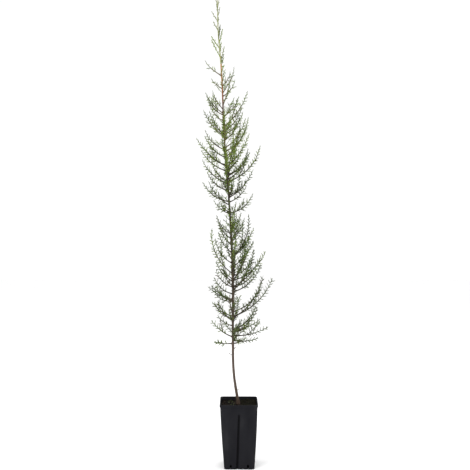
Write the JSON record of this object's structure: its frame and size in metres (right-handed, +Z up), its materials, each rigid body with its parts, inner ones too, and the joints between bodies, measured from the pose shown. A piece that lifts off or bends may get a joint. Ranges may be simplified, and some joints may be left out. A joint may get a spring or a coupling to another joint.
{
  "type": "potted italian cypress",
  "caption": "Slim young Italian cypress with up-curving scale-leaved limbs round a leaning stem, in a deep square black nursery pot.",
  "frame": {"origin": "middle of the pot's flat underside, where the plant stands on the ground", "axes": "+Z up along the plant, +X to its right as the picture shows it, +Y to its back"},
  "size_m": [0.2653, 0.2142, 1.4988],
  "materials": {
    "pot_plastic": "satin",
    "compost": "matte",
    "trunk_bark": "matte",
    "bough_bark": "matte",
    "foliage_green": "matte",
    "leader_green": "matte"
  },
  "bodies": {
    "root": {"bough_back_01": "bough_bark", "bough_back_02": "bough_bark", "bough_back_03": "bough_bark", "bough_back_04": "bough_bark", "bough_front_01": "bough_bark", "bough_front_02": "bough_bark", "bough_front_03": "bough_bark", "bough_left_01": "bough_bark", "bough_left_02": "bough_bark", "bough_left_03": "bough_bark", "bough_left_04": "bough_bark", "bough_right_01": "bough_bark", "bough_right_02": "bough_bark", "bough_right_03": "bough_bark", "bough_right_04": "bough_bark", "foliage_back_01": "foliage_green", "foliage_back_02": "foliage_green", "foliage_back_03": "foliage_green", "foliage_back_04": "foliage_green", "foliage_back_05": "foliage_green", "foliage_back_06": "foliage_green", "foliage_back_07": "foliage_green", "foliage_back_08": "foliage_green", "foliage_front_01": "foliage_green", "foliage_front_02": "foliage_green", "foliage_front_03": "foliage_green", "foliage_front_04": "foliage_green", "foliage_front_05": "foliage_green", "foliage_front_06": "foliage_green", "foliage_front_07": "foliage_green", "foliage_front_08": "foliage_green", "foliage_front_09": "foliage_green", "foliage_left_01": "foliage_green", "foliage_left_02": "foliage_green", "foliage_left_03": "foliage_green", "foliage_left_04": "foliage_green", "foliage_left_05": "foliage_green", "foliage_left_06": "foliage_green", "foliage_left_07": "foliage_green", "foliage_left_08": "foliage_green", "foliage_left_09": "foliage_green", "foliage_left_10": "foliage_green", "foliage_left_11": "foliage_green", "foliage_left_12": "foliage_green", "foliage_right_01": "foliage_green", "foliage_right_02": "foliage_green", "foliage_right_03": "foliage_green", "foliage_right_04": "foliage_green", "foliage_right_05": "foliage_green", "foliage_right_06": "foliage_green", "foliage_right_07": "foliage_green", "foliage_right_08": "foliage_green", "foliage_right_09": "foliage_green", "foliage_right_10": "foliage_green", "foliage_right_11": "foliage_green", "leader_shoot": "leader_green", "pot": "pot_plastic", "soil": "compost", "trunk": "trunk_bark"}
  },
  "joints": []
}
